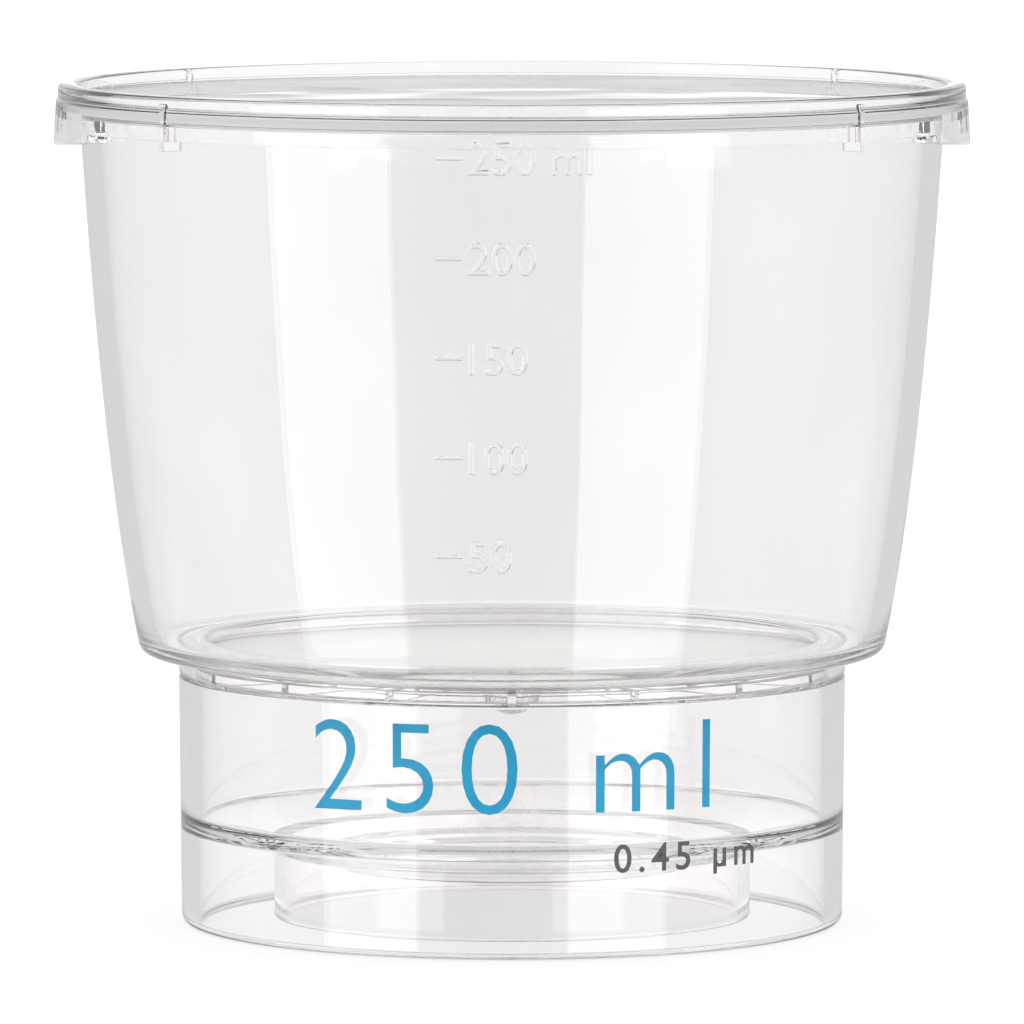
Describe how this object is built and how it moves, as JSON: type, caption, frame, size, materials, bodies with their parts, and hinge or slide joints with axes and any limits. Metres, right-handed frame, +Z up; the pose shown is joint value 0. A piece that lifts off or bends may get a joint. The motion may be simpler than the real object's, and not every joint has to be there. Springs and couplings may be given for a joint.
{
  "type": "bottle-top vacuum filter",
  "caption": "Clear funnel with a loose lid, a filter membrane on a support grid and a collar that screws onto a lab bottle, with a hose nozzle for vacuum.",
  "frame": {"origin": "centre of the circle on which the collar's foot stands", "axes": "+Z up the unit's axis towards the lid, +Y towards the hose nozzle at the back, the volume scale faces -Y"},
  "size_m": [0.0914, 0.0912, 0.084],
  "materials": {
    "clear_lid": "clear moulded polystyrene, polished",
    "clear_funnel": "clear moulded polystyrene, polished",
    "clear_collar": "clear moulded polystyrene, polished",
    "clear_nozzle": "clear moulded plastic",
    "membrane": "matt porous white film",
    "grid": "clear moulded polystyrene, polished",
    "fibre": "loose white fibre"
  },
  "bodies": {
    "unit": {"collar": "clear_collar", "support_grid": "grid", "membrane": "membrane", "funnel": "clear_funnel", "hose_nozzle": "clear_nozzle", "port_plug": "fibre"},
    "lid": {"lid": "clear_lid"}
  },
  "joints": [
    {"name": "lid_lift", "type": "slide", "parent": "unit", "child": "lid", "axis": [0, 0, 1], "range_m": [0, 0.03]}
  ]
}
